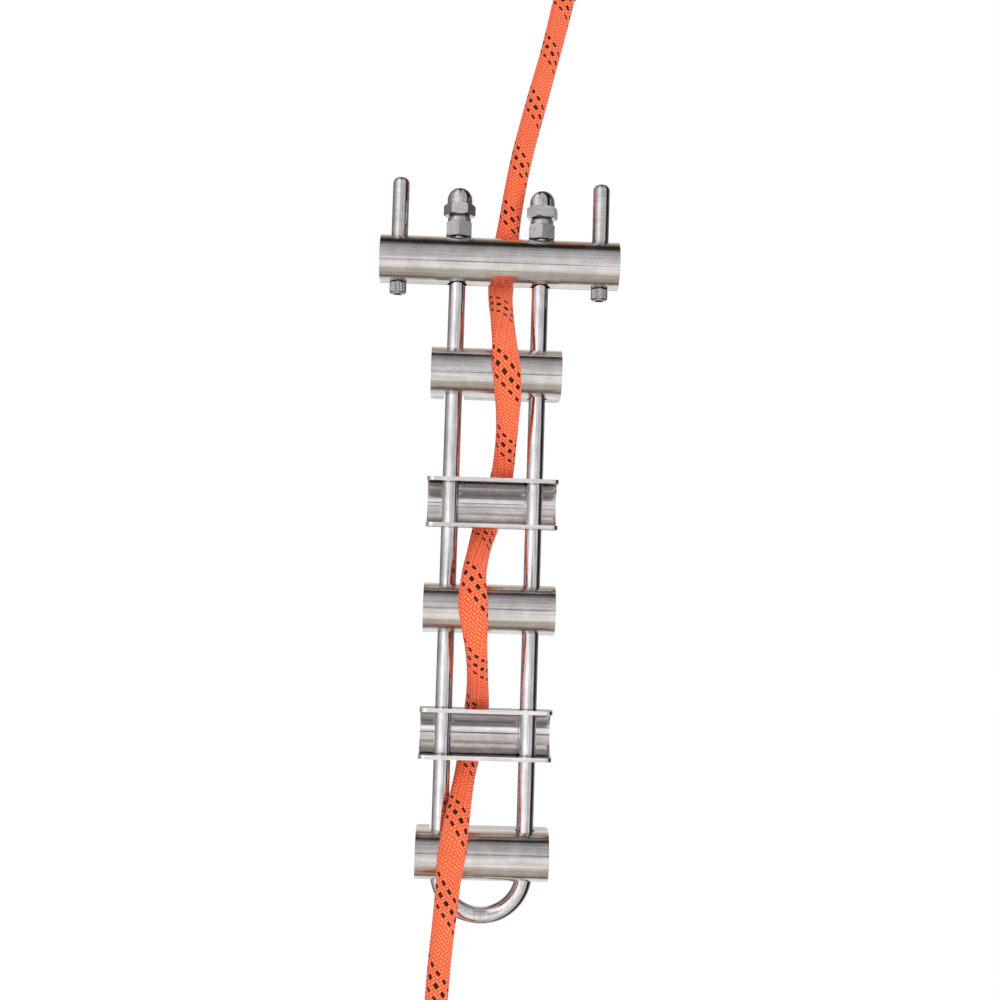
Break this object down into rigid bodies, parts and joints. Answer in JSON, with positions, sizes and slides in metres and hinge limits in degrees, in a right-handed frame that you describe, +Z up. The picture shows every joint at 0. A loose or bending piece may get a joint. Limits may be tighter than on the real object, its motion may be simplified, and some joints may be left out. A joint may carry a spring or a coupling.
{
  "type": "rescue brake bar rack",
  "caption": "U-shaped steel descender frame with sliding channel brake bars and a long top bar with tie-off pins, threaded with a braided rope.",
  "frame": {"origin": "centre of curvature of the U-bend, midway between the two legs", "axes": "+Z up along the legs to their nuts, +X across the legs to the right, -Y the front"},
  "size_m": [0.1366, 0.1514, 0.7767],
  "materials": {
    "rod_steel": "polished stainless steel rod",
    "bar_steel": "stainless steel with a brushed grain along the bar",
    "pin_steel": "turned stainless steel",
    "screw_steel": "knurled stainless steel screw head",
    "nut_steel": "bright stainless steel",
    "insert_nylon": "white nylon",
    "rope_sheath": "braided orange sheath with dark tracer yarns",
    "sleeve_rubber": "black shrink tube"
  },
  "bodies": {
    "root": {"u_frame": "rod_steel", "lock_nut_left": "nut_steel", "lock_nut_right": "nut_steel", "lock_nut_insert_left": "insert_nylon", "lock_nut_insert_right": "insert_nylon", "acorn_nut_left": "nut_steel", "acorn_nut_right": "nut_steel", "rope": "rope_sheath", "rope_eye_sleeve": "sleeve_rubber", "rope_end_knot": "rope_sheath"},
    "hyper_bar_body": {"hyper_bar": "bar_steel", "tie_off_pin_left": "pin_steel", "tie_off_pin_right": "pin_steel", "pin_screw_left": "screw_steel", "pin_screw_right": "screw_steel"},
    "brake_bar_2_body": {"brake_bar_2": "bar_steel"},
    "brake_bar_3_body": {"brake_bar_3": "bar_steel"},
    "brake_bar_4_body": {"brake_bar_4": "bar_steel"},
    "brake_bar_5_body": {"brake_bar_5": "bar_steel"},
    "brake_bar_6_body": {"brake_bar_6": "bar_steel"}
  },
  "joints": [
    {"name": "hyper_bar_slide", "type": "slide", "parent": "root", "child": "hyper_bar_body", "axis": [0, 0, 1], "range_m": [-0.012, 0], "deforming": ["rope"]},
    {"name": "brake_bar_2_slide", "type": "slide", "parent": "root", "child": "brake_bar_2_body", "axis": [0, 0, 1], "range_m": [-0.015, 0.012], "deforming": ["rope"]},
    {"name": "brake_bar_3_slide", "type": "slide", "parent": "root", "child": "brake_bar_3_body", "axis": [0, 0, 1], "range_m": [-0.009, 0.015], "deforming": ["rope"]},
    {"name": "brake_bar_4_slide", "type": "slide", "parent": "root", "child": "brake_bar_4_body", "axis": [0, 0, 1], "range_m": [-0.014, 0.009], "deforming": ["rope"]},
    {"name": "brake_bar_5_slide", "type": "slide", "parent": "root", "child": "brake_bar_5_body", "axis": [0, 0, 1], "range_m": [-0.013, 0.014], "deforming": ["rope"]},
    {"name": "brake_bar_6_slide", "type": "slide", "parent": "root", "child": "brake_bar_6_body", "axis": [0, 0, 1], "range_m": [0, 0.013], "deforming": ["rope"]}
  ]
}
